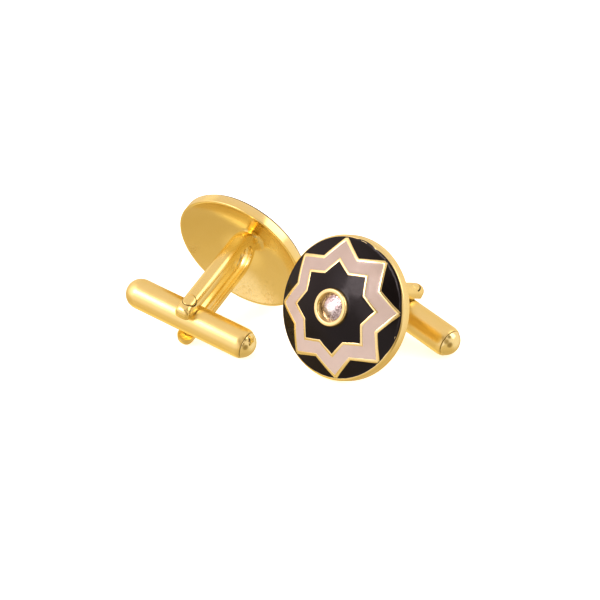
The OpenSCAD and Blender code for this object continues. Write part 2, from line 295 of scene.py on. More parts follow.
class Nodes:
    """A node tree, with the few kinds of node that the finishes and the room use."""

    def __init__(self, owner: Material | bpy.types.World) -> None:
        """Opens the tree of a material or of a world.

        Args:
            owner: The material or the world.
        """
        owner.use_nodes = True
        self.tree = owner.node_tree
        self.places = self.tree.nodes.new("ShaderNodeTexCoord").outputs

    def feed(self, target: Socket, value: Value) -> None:
        """Sets an input to a fixed value, or links it to the socket that gives the value.

        Args:
            target: The input.
            value: The value or the socket.
        """
        if isinstance(value, Socket):
            self.tree.links.new(value, target)
        else:
            target.default_value = value

    def node(self, kind: str, inputs: dict[str | int, Value]) -> bpy.types.Node:
        """Adds a node of a kind and feeds its inputs, each by its name or number.

        Args:
            kind: The type of the node.
            inputs: What each input is fed with, by its name or number.

        Returns:
            The node.
        """
        node = self.tree.nodes.new(kind)
        for key, value in inputs.items():
            self.feed(node.inputs[key], value)
        return node

    def attribute(self, name: str) -> Socket:
        """A value that the mesh carries on its vertices.

        Args:
            name: The value's name.

        Returns:
            The socket that reads it.
        """
        node = self.tree.nodes.new("ShaderNodeAttribute")
        node.attribute_name = name
        return node.outputs["Fac"]

    def math(self, operation: str, first: Socket, second: Socket) -> Socket:
        """Joins two values by an operation of the Math node.

        Args:
            operation: The operation's name.
            first: The first value.
            second: The second value.

        Returns:
            The socket with the result.
        """
        node = self.node("ShaderNodeMath", {0: first, 1: second})
        node.operation = operation
        return node.outputs["Value"]

    def spread(self, value: Socket, low: float, high: float, start: float = 0.0,
               end: float = 1.0) -> Socket:
        """Maps a value between start and end to low and high.

        Args:
            value: The value.
            low: What start becomes.
            high: What end becomes.
            start: Where the value's range starts.
            end: Where it ends.

        Returns:
            The socket with the result.
        """
        return self.node("ShaderNodeMapRange", {
            "Value": value, "From Min": start, "From Max": end, "To Min": low, "To Max": high,
        }).outputs["Result"]

    def noise(self, cloud: Cloud) -> Socket:
        """The noise of a cloud, its start and end left aside.

        Args:
            cloud: The cloud.

        Returns:
            The socket with the noise.
        """
        return self.node("ShaderNodeTexNoise", {
            "Vector": self.places["Object"], "Scale": 1 / (cloud.size_mm * MM), "Detail": cloud.detail,
            "Roughness": cloud.rough,
        }).outputs["Fac"]

    def cloud(self, cloud: Cloud, low: float = 0.0, high: float = 1.0) -> Socket:
        """The noise of a cloud, its start and end mapped to low and high."""
        return self.spread(self.noise(cloud), low, high, cloud.start, cloud.end)

    def blend(self, share: Socket, first: Socket | Colour, second: Socket | Colour) -> Socket:
        """Mixes two colours, each fixed or from a socket, by a value.

        Args:
            share: The value: 0 gives the first colour, 1 the second.
            first: The first colour.
            second: The second colour.

        Returns:
            The socket with the mixed colour.
        """
        node = self.node("ShaderNodeMix", {0: share})
        node.data_type = "RGBA"
        node.clamp_factor = True
        colours = [socket for socket in node.inputs if socket.type == "RGBA"]
        for colour, socket in zip((first, second), colours):
            self.feed(socket, colour if isinstance(colour, Socket) else (*colour, 1))
        return next(socket for socket in node.outputs if socket.type == "RGBA")

    def bump(self, height: Socket, depth_mm: float, below: Socket | None = None) -> Socket:
        """Bumps the surface.

        Args:
            height: Socket with the height, from 0 to 1.
            depth_mm: How high 1 stands.
            below: The normal that this one lies on.

        Returns:
            The bumped normal.
        """
        node = self.node("ShaderNodeBump", {"Strength": 1.0, "Distance": depth_mm * MM, "Height": height})
        if below is not None:
            self.feed(node.inputs["Normal"], below)
        return node.outputs["Normal"]


class Paint(Nodes):
    """The nodes of a material with one shader."""

    def __init__(self, name: str) -> None:
        """Makes the material."""
        self.material = bpy.data.materials.new(name)
        super().__init__(self.material)

    def finish(self, inputs: dict[str, Value]) -> Material:
        """Feeds the shader's inputs and hands over the material.

        Args:
            inputs: What each input is fed with, by its name.

        Returns:
            The material.
        """
        shader = self.tree.nodes["Principled BSDF"]
        for name, value in inputs.items():
            self.feed(shader.inputs[name], value)
        return self.material


@dataclass(frozen=True)
class Coat:
    """What the finishes of metal and enamel have in common.

    Attributes:
        name: The material's name.
        smooth: Roughness where it is smoothest.
        dull: Roughness where it is dullest.
        first: One of the two colours that tint mixes.
        second: The other one.
        metallic: 1 on metal, 0 on enamel.
        ior: The enamel's index of refraction.
        wave_depth_mm: How high the waves of the surface stand.
        tint: Blotches of colour.
        polish: Blotches of roughness.
        wave: Waves of the surface.
    """

    name: str
    smooth: float
    dull: float
    first: Colour
    second: Colour
    metallic: float = 1.0
    ior: float = 1.5
    wave_depth_mm: float = 0.0
    tint: Cloud = Cloud(2.2, 3)
    polish: Cloud = Cloud(0.9, 4, 0.6)
    wave: Cloud = Cloud(1.6, 1)

    def surface(self, nodes: Paint) -> dict[str, Value]:
        """Makes the colour, the roughness and the waves.

        Args:
            nodes: The material's nodes.

        Returns:
            What the shader's inputs are fed with.
        """
        surface = {
            "Base Color": nodes.blend(nodes.cloud(self.tint), self.first, self.second),
            "Roughness": nodes.cloud(self.polish, self.smooth, self.dull),
        }
        if self.wave_depth_mm > 0:
            surface["Normal"] = nodes.bump(nodes.noise(self.wave), self.wave_depth_mm)
        return surface

    def material(self) -> Material:
        """Builds the material."""
        nodes = Paint(self.name)
        return nodes.finish({"Metallic": self.metallic, "IOR": self.ior, **self.surface(nodes)})


@dataclass(frozen=True)
class Gilding(Coat):
    """Gold plate: polished, or with the softer shine of a hollow that no wheel reaches.

    Attributes:
        first: One of the two colours that tint mixes.
        second: The other one.
        speck_shade: Colour of the dark specks in spilt solder, painted shade for the sparkle of its rough
            surface.
        front: Colour of the glint specks in it, painted highlights, and of the gold on the front, painted
            paler as painted light.
        wave_depth_mm: How high the waves of the surface stand.
        grain_depth_mm: How high its grain stands.
        flow_depth_mm: How high the solder stands where the mesh carries FLOW; 0 leaves FLOW and FRONT out.
        flow_dull: Roughness of the solder.
        grain: Fine grain of the surface.
        flow: Runs of the solder.
        specks: Dark specks in it, as painted shade.
        glints: Bright specks in it, as painted highlights.
    """

    first: Colour = (1.0, 0.87, 0.46)
    second: Colour = (0.99, 0.855, 0.43)
    # Painted shade: the colour of the dark specks in the solder.
    speck_shade: Colour = (0.86, 0.72, 0.32)
    # Painted light: the colour of the glint specks and of the paler gold on the front.
    front: Colour = (1.0, 0.89, 0.52)
    wave_depth_mm: float = 0.010
    grain_depth_mm: float = 0.0
    flow_depth_mm: float = 0.0
    flow_dull: float = 0.34
    grain: Cloud = Cloud(0.12, 3, 0.6)
    flow: Cloud = Cloud(0.5, 3, 0.6)
    specks: Cloud = Cloud(0.45, 4, 0.65, 0.5, 0.62)
    glints: Cloud = Cloud(0.26, 3, 0.6, 0.52, 0.6)

    def surface(self, nodes: Paint) -> dict[str, Value]:
        """Adds the grain, and the spilt solder where there is some, with specks of painted shade and
        painted highlight, and the paler front as painted light.

        Args:
            nodes: The material's nodes.

        Returns:
            What the shader's inputs are fed with.
        """
        surface = super().surface(nodes)
        colour, roughness, normal = (surface[name] for name in ("Base Color", "Roughness", "Normal"))
        if self.grain_depth_mm > 0:
            normal = nodes.bump(nodes.noise(self.grain), self.grain_depth_mm, normal)
        if self.flow_depth_mm > 0:
            flow = nodes.attribute(FLOW)
            height = nodes.math("MULTIPLY", nodes.noise(self.flow), flow)
            normal = nodes.bump(height, self.flow_depth_mm, normal)
            roughness = nodes.math("MAXIMUM", roughness, nodes.spread(flow, self.smooth, self.flow_dull))
            # Painted shade and painted highlights: dark and bright specks in the solder's colour stand in
            # for light sparkling off its rough surface.
            for cloud, tone in ((self.specks, self.speck_shade), (self.glints, self.front)):
                colour = nodes.blend(nodes.math("MULTIPLY", nodes.cloud(cloud), flow), colour, tone)
            # Painted light: the gold on the front gets a paler colour than the rest.
            colour = nodes.blend(nodes.attribute(FRONT), colour, self.front)
        return {"Base Color": colour, "Roughness": roughness, "Normal": normal}


@dataclass(frozen=True)
class DrawnSteel(Coat):
    """Bright spring steel, for what lies inside the bar."""

    first: Colour = (0.56, 0.57, 0.58)
    second: Colour = (0.7, 0.7, 0.71)
    tint: Cloud = Cloud(0.3, 3, start=0, end=1)
    polish: Cloud = Cloud(0.1, 3)


@dataclass(frozen=True)
class Glaze(Coat):
    """Hard glossy enamel with a faint cloud of colour."""

    metallic: float = 0.0
    wave_depth_mm: float = 0.006
    tint: Cloud = Cloud(1.8, 4)
    polish: Cloud = Cloud(0.5, 3)
    wave: Cloud = Cloud(2.4, 2)


@dataclass(frozen=True)
class CutGlass:
    """The clear cut stone, most of its light thrown back by a silvered underside, with painted reflections
    in the colour of its facets.
    """

    name: str
    table: Colour = (0.97, 0.98, 1.0)
    # Painted reflections: the two colours speckled over the facets round the table.
    pale: Colour = (0.80, 0.73, 0.72)
    mauve: Colour = (0.44, 0.37, 0.37)
    clear_start: float = 0.45
    sparkle_depth_mm: float = 0.03
    ior: float = 1.9
    silver: float = 0.85
    roughness: float = 0.03
    specks: Cloud = Cloud(0.3, 3, 0.6, 0.4, 0.6)
    sparkle: Cloud = Cloud(0.28, 2)

    def material(self) -> Material:
        """Builds the material.

        Returns:
            The material.
        """
        nodes = Paint(self.name)
        # Painted reflections: pale and mauve specks round the table, the table itself near white.
        ring = nodes.blend(nodes.cloud(self.specks), self.pale, self.mauve)
        clear = nodes.spread(nodes.attribute(CLEAR), 0, 1, self.clear_start, 1)
        return nodes.finish({
            "Transmission Weight": 1.0,
            "Metallic": self.silver,
            "IOR": self.ior,
            "Roughness": self.roughness,
            "Base Color": nodes.blend(clear, ring, self.table),
            "Normal": nodes.bump(nodes.noise(self.sparkle), self.sparkle_depth_mm),
        })


LONG_WAVE = Cloud(3.0, 1)
FINE_GRAIN_MM = 0.0006


class Look(Enum):
    """The finishes that the pieces are given."""

    BAR_GILDING = Gilding("bar_gilding", 0.29, 0.34, wave=LONG_WAVE)
    # The plug's gold is painted paler than the bar's, as a painted highlight.
    PLUG_GILDING = Gilding("plug_gilding", 0.12, 0.18, (1.0, 0.92, 0.56), (1.0, 0.91, 0.53), wave=LONG_WAVE)
    BEZEL_GILDING = Gilding("bezel_gilding", 0.14, 0.22, (0.96, 0.84, 0.50), (0.90, 0.77, 0.44),
                            grain_depth_mm=FINE_GRAIN_MM)
    POST_GILDING = Gilding("post_gilding", 0.19, 0.26)
    FACE_GILDING = Gilding("face_gilding", 0.14, 0.22, grain_depth_mm=FINE_GRAIN_MM, flow_depth_mm=0.045)
    BLACK_GLAZE = Glaze("black_glaze", 0.10, 0.20, (0.006, 0.003, 0.004), (0.009, 0.005, 0.006))
    PINK_GLAZE = Glaze("pink_glaze", 0.12, 0.24, (0.555, 0.492, 0.456), (0.585, 0.518, 0.476))
    CUT_STONE = CutGlass("cut_stone")
    SPRING_STEEL = DrawnSteel("spring_steel", 0.2, 0.4)


@dataclass(frozen=True)
class FaceSizes:
    """Sizes of the round face, in millimetres."""

    face_r: float = 9.5
    rim_h: float = 1.45
    dome_rise: float = 2.55
    sheet_t: float = 0.9
    back_lip: float = 0.3
    front_bevel: float = 0.12
    back_bevel: float = 0.12
    border_line_w: float = 0.4
    cell_depth: float = 0.45
    turn_steps: int = 240

    @property
    def dome_top(self) -> float:
        """Height of the middle of the dome."""
        return self.rim_h + self.dome_rise

    @property
    def dome_r(self) -> float:
        """Radius of the sphere that the dome is part of."""
        return arch_radius(self.face_r, self.dome_rise)

    @property
    def border_r(self) -> float:
        """Inner radius of the gold ring round the enamel."""
        return self.face_r - self.border_line_w

    @property
    def dish_depth(self) -> float:
        """Depth of the hollow back."""
        return self.dome_top - self.sheet_t

    @property
    def dish_edge_r(self) -> float:
        """Radius of the hollow's mouth."""
        return self.face_r - self.back_lip

    @property
    def dish_r(self) -> float:
        """Radius of the sphere that the hollow is part of."""
        return arch_radius(self.dish_edge_r, self.dish_depth)

    def dome(self, radius: float, sink: float = 0.0) -> float:
        """Height of the dome at a radius, or of the surface that lies sink below it.

        Args:
            radius: The radius.
            sink: How deep below the dome the surface lies.

        Returns:
            The height.
        """
        ball = self.dome_r - sink
        return self.dome_top - self.dome_r + math.sqrt(ball ** 2 - radius ** 2)

    def dish(self, radius: float) -> float:
        """Height of the hollow's surface at a radius."""
        return self.dish_depth - self.dish_r + math.sqrt(self.dish_r ** 2 - radius ** 2)


@dataclass(frozen=True)
class StarLine:
    """One gold star of the pattern."""

    tip_r: float
    notch_r: float
    width: float
    points: int = 8
    turn: float = math.radians(25.2)
    edge_steps: int = 8
    waver: float = 0.03
    waver_mm: float = 1.1

    def outline(self, offset: float = 0.0) -> Outline:
        """The star's outline, its sides moved outwards by offset.

        Args:
            offset: How far the sides are moved.

        Returns:
            The outline, each side cut into edge_steps.
        """
        half = math.pi / self.points
        tip_a = math.atan2(self.notch_r * math.sin(half), self.tip_r - self.notch_r * math.cos(half))
        notch_a = math.atan2(self.tip_r * math.sin(half), self.tip_r * math.cos(half) - self.notch_r)
        radii = (self.tip_r + offset / math.sin(tip_a), self.notch_r + offset / math.sin(notch_a))
        corners = [polar(radii[i % 2], self.turn + i * half) for i in range(2 * self.points)]
        return [a.lerp(b, k / self.edge_steps) for a, b in zip(corners, corners[1:] + corners[:1])
                for k in range(self.edge_steps)]

    def wavering(self, offset: float, seed: float) -> Outline:
        """The outline as a hand-finished edge, a little out of true.

        Args:
            offset: How far the sides are moved outwards.
            seed: Which waver it is.

        Returns:
            The outline.
        """
        out = []
        for p in self.outline(offset):
            drift = noise.noise(Vector((p.x, p.y, seed + offset)) / self.waver_mm)
            out.append(p * (1 + self.waver * drift / p.length))
        return out


@dataclass(frozen=True)
class StoneSizes:
    """Sizes of the bezel and of the stone in it, in millimetres."""

    bezel_r: float = 2.575
    mouth_r: float = 1.95
    proud: float = 0.42
    socket: float = 0.7
    rounding: float = 0.1
    lip_taper: float = 0.17
    stone_r: float = 1.65
    crown_h: float = 0.42
    pavilion_h: float = 0.46
    girdle_h: float = 0.06
    girdle_drop: float = 0.62
    ledge_share: float = 0.8
    turn_steps: int = 96
    facets: int = 8
    table_share: float = 0.34
    star_share: float = 0.70
    star_h_share: float = 0.56
    lower_share: float = 0.46
    lower_h_share: float = 0.57


@dataclass(frozen=True)
class PostSizes:
    """Sizes of the U-shaped post, in millimetres, and how square its two tips are."""

    tip_blunts: tuple[float, float]
    reach: float = 12.55
    strip_w: float = 2.25
    strip_t: float = 1.6
    crown: float = 0.55
    channel_w: float = 1.5
    channel_depth: float = 0.4
    tip_start: float = 1.05
    channel_stop: float = 2.6
    channel_fade: float = 0.7
    seat_r: float = 2.1
    seat_neck_r: float = 1.35
    solder_film: float = 0.08
    arm_in: float = 2.3
    edge_round: float = 0.13
    crown_round: float = 0.4

    @property
    def arm_out(self) -> float:
        """Distance from the middle plane to an arm's crown."""
        return self.arm_in + self.strip_t

    @property
    def crown_r(self) -> float:
        """Radius of the crown's arc."""
        return arch_radius(self.strip_w / 2, self.crown)

    @property
    def channel_r(self) -> float:
        """Radius of the channel's arc."""
        return arch_radius(self.channel_w / 2, self.channel_depth)

    def crown_at(self, across: float) -> float:
        """Height of the crown above the strip's inner side, across it from its middle.

        Args:
            across: How far from the strip's middle.

        Returns:
            The height.
        """
        arched = self.strip_t - self.crown_r + math.sqrt(max(self.crown_r ** 2 - across ** 2, 0))
        into_round = max(0.0, self.crown_round - (self.strip_w / 2 - abs(across)))
        return arched - self.crown_round + math.sqrt(max(self.crown_round ** 2 - into_round ** 2, 0))

    def channel_at(self, across: float) -> float:
        """Depth of the channel, across the strip from its middle.

        Args:
            across: How far from the strip's middle.

        Returns:
            The depth, 0 beside the channel.
        """
        inside = self.channel_r ** 2 - across ** 2
        return max(0.0, math.sqrt(max(inside, 0)) + self.channel_depth - self.channel_r)


@dataclass(frozen=True)
class BarSizes:
    """Sizes of the swivel bar and its pin, in millimetres."""

    bar_r: float = 2.07
    closed_reach: float = 9.7
    plug_reach: float = 10.0
    seam_reach: float = 8.75
    wall: float = 0.5
    end_t: float = 1.2
    seam_step: float = 0.09
    seam_round: float = 0.1
    pin_r: float = 0.9
    pin_clear: float = 0.05
    plug_stem: float = 1.4
    pin_seam: float = 0.11
    pin_proud: float = 0.02
    plug_gap: float = 0.05
    turn_steps: int = 128


def own_frame(side: Side, record: dict, face: FaceSizes) -> Matrix:
    """Works out where one cufflink's own frame stands, from its joint and back lip.

    Args:
        side: Which cufflink.
        record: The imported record.
        face: The face's sizes, for the radius that the lip's point lies at.

    Returns:
        The matrix from the cufflink's millimetres to the scene's metres.
    """
    lip = next(m for m in record["mounts"] if m["name"] == f"{side.value}_back_lip")
    joint = next(j for j in record["behaviour"]["joints"] if j["name"] == f"{side.value}_bar_swivel")
    along_pin = Vector(joint["axis"]).normalized()
    outwards = -Vector(lip["axis"]).normalized()
    along_bar = along_pin.cross(outwards)
    lip_r = (face.dish_edge_r + face.face_r - face.back_bevel) / 2
    origin = Vector(lip["pos_m"]) - along_pin * lip_r * MM
    turn = Matrix((along_bar, along_pin, outwards)).transposed().to_4x4()
    return Matrix.Translation(origin) @ turn @ Matrix.Scale(MM, 4)


@dataclass
class Shop:
    """Turns the bmeshes of one cufflink into finished pieces, in place and riding on their bodies."""

    side: Side
    frame: Matrix
    finishes: dict[Look, Material]
    made: int = 0

    def finish(self, name: str, mesh: Mesh, node: str, look: Look, slot: str = "polished_gold",
               body: str = "cufflinks", crease: float = 40.0, cutters: Sequence[Mesh] = ()) -> None:
        """Places a mesh, dresses it and hangs it on its body.

        Args:
            name: The piece's name without its side.
            mesh: The mesh, in the cufflink's own frame. It is used up.
            node: The CAD node that the piece stands for, without its side.
            look: The piece's finish.
            slot: The record's material slot; not used.
            body: The body that the piece rides on.
            crease: Edges sharper than this many degrees stay sharp.
            cutters: Meshes that are cut out of the piece.
        """
        full_name = f"{self.side.value}_{name}"
        piece = self.hung(full_name, mesh)
        for cutter in cutters:
            self.cut(piece, self.hung("cutter", cutter))
        piece.data.shade_smooth()
        piece.data.set_sharp_from_angle(angle=math.radians(crease))
        piece.data.materials.clear()
        piece.data.materials.append(self.finishes[look])
        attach(piece, body)
        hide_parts(f"{self.side.value}_{node}")
        self.made += 1
        LOG.info("%s: %d faces on %s", full_name, len(piece.data.polygons), body)

    def hung(self, name: str, mesh: Mesh) -> bpy.types.Object:
        """Makes an object of a mesh, with its place in its vertices.

        Args:
            name: The object's name.
            mesh: The mesh, in the cufflink's own frame. It is used up.

        Returns:
            The object.
        """
        bmesh.ops.transform(mesh, matrix=self.frame, verts=mesh.verts)
        return added(name, mesh_data(name, mesh))

    def cut(self, piece: bpy.types.Object, cutter: bpy.types.Object) -> None:
        """Cuts one object out of another and removes the cutter.

        Args:
            piece: The object that is cut.
            cutter: The object that is cut out of it.
        """
        modifier = piece.modifiers.new("cut", "BOOLEAN")
        modifier.operation = "DIFFERENCE"
        modifier.solver = "EXACT"
        modifier.object = cutter
        bpy.context.view_layer.update()
        shaped = piece.evaluated_get(bpy.context.evaluated_depsgraph_get())
        data = bpy.data.meshes.new_from_object(shaped)
        piece.modifiers.clear()
        piece.data = data
        bpy.data.objects.remove(cutter)


@dataclass(frozen=True)
class RoughSpot:
    """A rough place in the hollow of a face: where it is, how far it reaches and how rough it is."""

    turn: float
    radius: float
    reach: float
    depth: float


@dataclass
class EnamelledFace:
    """The domed face: its gilt casting, the three fields of enamel, the bezel and the stone."""

    shop: Shop
    laps: tuple[Lap, ...]
    sizes: FaceSizes = FaceSizes()
    stone: StoneSizes = StoneSizes()
    outer: StarLine = StarLine(9.05, 6.9, 0.5)
    inner: StarLine = StarLine(6.25, 4.85, 0.42)
    enamel_sink: float = 0.05
    meniscus: float = 0.035
    line_edge: float = 0.09
    line_cut_share: float = 0.3
    line_crown: float = 0.012
    buried: float = 0.03
    seed: float = 3.0
    lap_film: float = 0.014
    ragged: float = 0.05
    ragged_mm: float = 0.7
    rough_spots: tuple[RoughSpot, ...] = (
        RoughSpot(turn=-40, radius=3.6, reach=3.2, depth=1.6),
        RoughSpot(turn=86, radius=8.8, reach=3.2, depth=1.0),
        RoughSpot(turn=60, radius=8.4, reach=3.0, depth=0.8),
        RoughSpot(turn=152, radius=8.8, reach=1.2, depth=1.0),
    )

    def build(self) -> None:
        """Makes every piece of the face."""
        self.cast_face()
        self.glaze()
        self.collet()
        self.cut_stone()

    def on_dome(self, outline: Sequence[Vector], sink: float) -> Outline:
        """Lifts a flat outline to the surface that lies sink below the dome."""
        return [Vector((p.x, p.y, self.sizes.dome(p.length, sink))) for p in outline]

    def star_wall(self, star: StarLine) -> Mesh:
        """A gold line that stands between two fields, its top edges rounded.

        Args:
            star: The line's star.

        Returns:
            The line's mesh.
        """
        half = star.width / 2
        edge = self.line_edge
        cut = edge * self.line_cut_share
        floor = self.sizes.cell_depth + self.buried
        flank = [(half, floor), (half, edge), (half - cut, cut), (half - edge, 0)]
        section = [(-across, sink) for across, sink in flank] + [(0, -self.line_crown)] + flank[::-1]
        rings = [self.on_dome(star.wavering(offset, self.seed), sink) for offset, sink in section]
        return loft(rings, joined=True)

    def cast_face(self) -> None:
        """The gilt casting: hollow back, lip, wall, ring, the floor of the cells and the star lines."""
        s = self.sizes
        steps = 28
        radii = [s.dish_edge_r * i / steps for i in range(steps)]
        ring_mid = (s.face_r + s.border_r) / 2
        outline = points(
            *((radius, s.dish(radius)) for radius in radii),
            (s.dish_edge_r, 0), (s.face_r, 0), (s.face_r, s.rim_h - s.front_bevel),
            (ring_mid, s.dome(ring_mid)), (s.border_r, s.dome(s.border_r)),
            *((radius, s.dome(radius, s.cell_depth)) for radius in (s.border_r, s.border_r / 2, 0)))
        body = revolve(fillet(outline, s.back_bevel), s.turn_steps)
        flow = body.verts.layers.float.new(FLOW)
        for vert in body.verts:
            vert[flow] = self.flow_at(vert.co)
        for star in (self.outer, self.inner):
            wall = mesh_data("wall", self.star_wall(star))
            body.from_mesh(wall)
            bpy.data.meshes.remove(wall)
        # Marks the front's gold, which is painted paler as painted light.
        front = body.verts.layers.float.new(FRONT)
        for vert in body.verts:
            radius = min(math.hypot(vert.co.x, vert.co.y), s.face_r)
            vert[front] = float(vert.co.z > s.dome(radius, s.cell_depth / 2))
        self.shop.finish("cast_face", body, "face_plate", Look.FACE_GILDING, "satin_gold")

    def flow_at(self, place: Vector) -> float:
        """How rough the casting is at a place: spilt solder and pits in the hollow, smooth elsewhere.

        Args:
            place: A point of the casting.

        Returns:
            The roughness, where 0 is smooth.
        """
        radius = math.hypot(place.x, place.y)
        if abs(place.z - self.sizes.dish(min(radius, self.sizes.dish_edge_r))) > self.buried:
            return 0.0
        rough = 0.0
        for spot in self.rough_spots:
            off = (Vector((place.x, place.y)) - polar(spot.radius, math.radians(spot.turn))).length
            rough = max(rough, spot.depth * max(0.0, 1 - off / spot.reach))
        return rough

    def field(self, inner: Outline, outer: Outline, inner_cover: float, outer_cover: float) -> Mesh:
        """A field of enamel between two outlines.

        Args:
            inner: The inner outline.
            outer: The outer outline, with as many points.
            inner_cover: Width of the gold that covers the inner edge.
            outer_cover: Width of the gold that covers the outer edge.

        Returns:
            The field's mesh, its surface drawn up a little where it meets the gold.
        """
        shares = (0, 0.05, 0.1, 0.15, 0.2, 0.28, 0.38, 0.5, 0.62, 0.72, 0.8, 0.85, 0.9, 0.95, 1)
        creep_mm = 0.14
        rings = []
        for share in shares:
            ring = []
            for a, b in zip(inner, outer):
                flat = a.lerp(b, share)
                room = (b - a).length
                clear = max(0.0, min(share * room - inner_cover, (1 - share) * room - outer_cover))
                sink = self.enamel_sink - self.meniscus * math.exp(-clear / creep_mm)
                if flat.length > self.sizes.border_r:
                    sink = -self.lap_film
                ring.append(Vector((flat.x, flat.y, self.sizes.dome(flat.length, sink))))
            rings.append(ring)
        floor = self.sizes.cell_depth - self.buried
        rings.append(self.on_dome(outer, floor))
        rings.append(self.on_dome(inner, floor))
        return loft(rings, joined=True)

    def glaze(self) -> None:
        """Enamel: black between outer star and ring, pink between the stars, black round the bezel."""
        outer, inner = self.outer.outline(), self.inner.outline()
        ring = [p.normalized() * self.border_edge(p.normalized()) for p in outer]
        foot = [p.normalized() * (self.stone.bezel_r - self.buried) for p in inner]
        under_outer, under_inner = self.outer.width / 2, self.inner.width / 2
        for name, mesh, look, slot in (
            ("border", self.field(outer, ring, under_outer, self.buried), Look.BLACK_GLAZE, "black_enamel"),
            ("star", self.field(inner, outer, under_inner, under_outer), Look.PINK_GLAZE, "pink_enamel"),
            ("centre", self.field(foot, inner, self.buried, under_inner), Look.BLACK_GLAZE, "black_enamel"),
        ):
            self.shop.finish(f"{name}_glaze", mesh, f"{name}_enamel", look, slot)

    def border_edge(self, way: Vector) -> float:
        """Radius of the border enamel's ragged edge in a direction, where it laps over the gold ring.

        Args:
            way: The direction, one long.

        Returns:
            The radius.
        """
        lap = 0.0
        for stretch in self.laps:
            off = math.degrees(way.angle(polar(1, math.radians(stretch.turn))))
            share = max(0.0, math.cos(math.pi / 2 * min(off / stretch.half, 1)))
            lap = max(lap, stretch.reach * math.sqrt(share))
        spot = Vector((way.x, way.y, self.seed)) * self.sizes.border_r / self.ragged_mm
        return self.sizes.border_r + self.buried + max(lap, abs(self.ragged * noise.noise(spot)))

    def collet(self) -> None:
        """The bezel: a tube whose mouth slopes in to the stone."""
        s = self.stone
        foot = self.sizes.dome_top - s.socket
        rim = self.sizes.dome_top + s.proud
        girdle = rim - s.girdle_drop
        ledge = s.stone_r * s.ledge_share
        outline = points(
            (ledge, foot), (s.bezel_r, foot), (s.bezel_r, self.sizes.dome_top),
            (s.bezel_r - s.lip_taper, rim), (s.mouth_r, rim), (s.stone_r, girdle + s.girdle_h),
            (s.stone_r, girdle), (ledge, girdle - s.pavilion_h * (1 - s.ledge_share)))
        mesh = revolve(fillet(outline, s.rounding, closed=True), s.turn_steps, closed=True)
        self.shop.finish("collet", mesh, "bezel", Look.BEZEL_GILDING)

    def cut_stone(self) -> None:
        """A round brilliant: table, stars, kites, girdle, lower facets and point."""
        s = self.stone
        girdle = self.sizes.dome_top + s.proud - s.girdle_drop
        step = math.tau / s.facets
        levels = (
            (s.table_share, s.crown_h, s.facets, 0.0),
            (s.star_share, s.crown_h * s.star_h_share, s.facets, 0.5),
            (1.0, s.girdle_h, 2 * s.facets, 0.0),
            (1.0, 0.0, 2 * s.facets, 0.0),
            (s.lower_share, -s.pavilion_h * s.lower_h_share, s.facets, 0.5),
        )
        mesh = bmesh.new()
        clear = mesh.verts.layers.float.new(CLEAR)
        for radius_share, height, count, turn in levels:
            for i in range(count):
                flat = polar(s.stone_r * radius_share, step * (i * s.facets / count + turn))
                vert = mesh.verts.new((flat.x, flat.y, girdle + height))
                vert[clear] = float(height == s.crown_h)
        mesh.verts.new((0, 0, girdle - s.pavilion_h))
        bmesh.ops.convex_hull(mesh, input=mesh.verts)
        flat_angle = math.radians(1)
        bmesh.ops.dissolve_limit(mesh, angle_limit=flat_angle, verts=mesh.verts, edges=mesh.edges)
        bmesh.ops.recalc_face_normals(mesh, faces=mesh.faces)
        self.shop.finish("cut_stone", mesh, "stone", Look.CUT_STONE, "clear_stone", crease=1)


